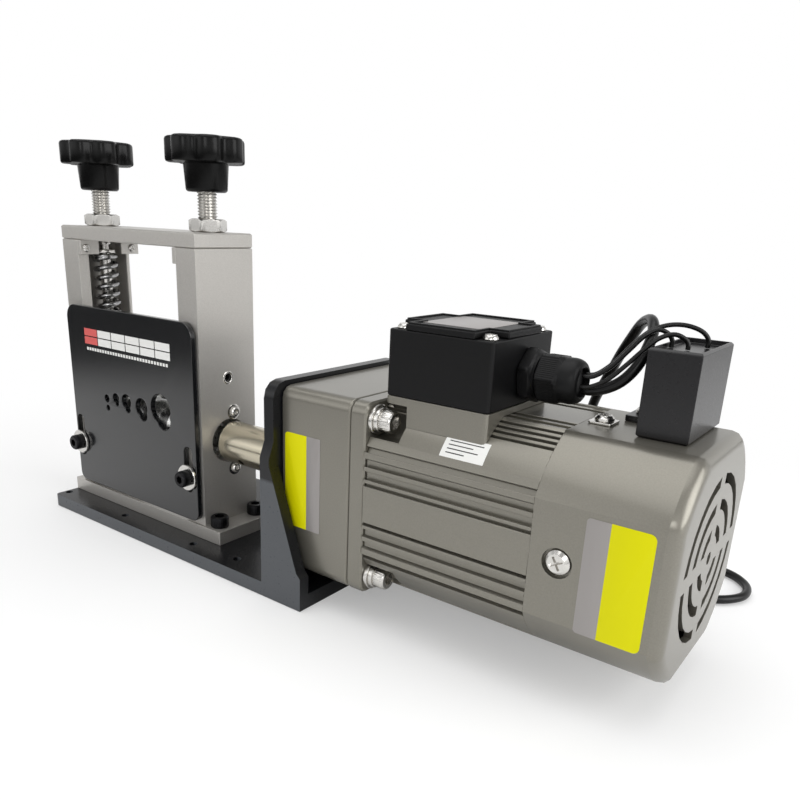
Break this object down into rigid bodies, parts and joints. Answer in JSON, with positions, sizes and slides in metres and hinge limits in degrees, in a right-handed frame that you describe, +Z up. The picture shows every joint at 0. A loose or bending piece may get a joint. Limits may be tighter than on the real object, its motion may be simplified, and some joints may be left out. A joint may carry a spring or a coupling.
{
  "type": "electric wire stripping machine",
  "caption": "Bench wire stripper: a geared, fan-cooled motor drives a feed roller under adjustable round blades behind a guide plate with graded wire channels.",
  "frame": {"origin": "underside of the base, on the motor's axis seen from above, at the motor side of the upright bracket plate", "axes": "+X along the motor's axis towards its fan end, -Y towards the operator who feeds the wire in, +Z up"},
  "size_m": [0.3764, 0.1877, 0.216],
  "materials": {
    "dark_steel": "satin slate-black paint",
    "satin_aluminium": "satin milled aluminium",
    "motor_grey": "glossy warm grey metallic coat",
    "nickel": "bright nickel plate",
    "bright_steel": "ground bright steel",
    "black_oxide": "black oxide",
    "black_plastic": "matt black moulding",
    "black_gloss": "gloss black coat",
    "black_rubber": "matt black flexible sheath"
  },
  "bodies": {
    "machine": {"base_bracket": "dark_steel", "stripper_base": "satin_aluminium", "left_pillar": "satin_aluminium", "right_pillar": "satin_aluminium", "crossbar": "satin_aluminium", "left_front_retainer": "satin_aluminium", "left_rear_retainer": "satin_aluminium", "right_front_retainer": "satin_aluminium", "right_rear_retainer": "satin_aluminium", "gearhead_housing": "motor_grey", "motor_flange": "motor_grey", "motor_body": "motor_grey", "fan_cover": "motor_grey", "terminal_base": "motor_grey", "front_cover_screw": "nickel", "rear_cover_screw": "nickel", "motor_screw_1": "nickel", "motor_screw_2": "nickel", "motor_screw_3": "nickel", "motor_screw_4": "nickel", "capacitor_screw": "nickel", "left_lock_nut": "nickel", "right_lock_nut": "nickel", "left_bearing": "bright_steel", "right_bearing": "bright_steel", "left_guide_screw": "black_oxide", "right_guide_screw": "black_oxide", "front_foot_screw": "black_oxide", "rear_foot_screw": "black_oxide", "terminal_box": "black_plastic", "terminal_lid": "black_plastic", "gland_body": "black_plastic", "gland_nut": "black_plastic", "capacitor_case": "black_plastic", "capacitor_lead_1": "black_rubber", "capacitor_lead_2": "black_rubber", "capacitor_lead_3": "black_rubber", "mains_coil": "black_rubber", "mains_cord": "black_rubber", "mains_plug": "black_rubber"},
    "drive": {"feed_roller": "bright_steel", "drive_coupling": "nickel", "output_shaft": "bright_steel"},
    "rotor": {"rotor_shaft": "bright_steel", "cooling_fan": "black_plastic"},
    "carriage": {"left_slider": "bright_steel", "right_slider": "bright_steel", "left_spring": "nickel", "right_spring": "nickel"},
    "blades": {"blade_shaft": "bright_steel", "blade_1": "bright_steel", "blade_2": "bright_steel", "blade_3": "bright_steel", "blade_4": "bright_steel", "blade_5": "bright_steel"},
    "left_adjuster": {"left_adjusting_screw": "nickel", "left_knob": "black_plastic"},
    "right_adjuster": {"right_adjusting_screw": "nickel", "right_knob": "black_plastic"},
    "guide": {"guide_plate": "black_gloss"}
  },
  "joints": [
    {"name": "drive_spin", "type": "hinge", "parent": "machine", "child": "drive", "pos_m": [-0.08, -0.018, 0.061], "axis": [1, 0, 0], "continuous": true},
    {"name": "rotor_spin", "type": "hinge", "parent": "machine", "child": "rotor", "pos_m": [0.14, 0, 0.061], "axis": [1, 0, 0], "continuous": true},
    {"name": "blade_lift", "type": "slide", "parent": "machine", "child": "carriage", "axis": [0, 0, 1], "range_m": [-0.0012, 0.005]},
    {"name": "blade_spin", "type": "hinge", "parent": "carriage", "child": "blades", "pos_m": [-0.1248, -0.018, 0.0945], "axis": [1, 0, 0], "continuous": true},
    {"name": "left_knob_turn", "type": "hinge", "parent": "carriage", "child": "left_adjuster", "pos_m": [-0.1713, -0.018, 0.18], "axis": [0, 0, 1], "range_deg": [-290, 1202]},
    {"name": "right_knob_turn", "type": "hinge", "parent": "carriage", "child": "right_adjuster", "pos_m": [-0.0783, -0.018, 0.18], "axis": [0, 0, 1], "range_deg": [-290, 1202]},
    {"name": "guide_slide", "type": "slide", "parent": "machine", "child": "guide", "axis": [0, 0, 1], "range_m": [-0.0026, 0.005]}
  ],
  "couplings": [
    {"joint": "rotor_spin", "follows": "drive_spin", "ratio": 7.5},
    {"joint": "left_knob_turn", "follows": "blade_lift", "rad_per_m": 4188.8},
    {"joint": "right_knob_turn", "follows": "blade_lift", "rad_per_m": 4188.8}
  ]
}
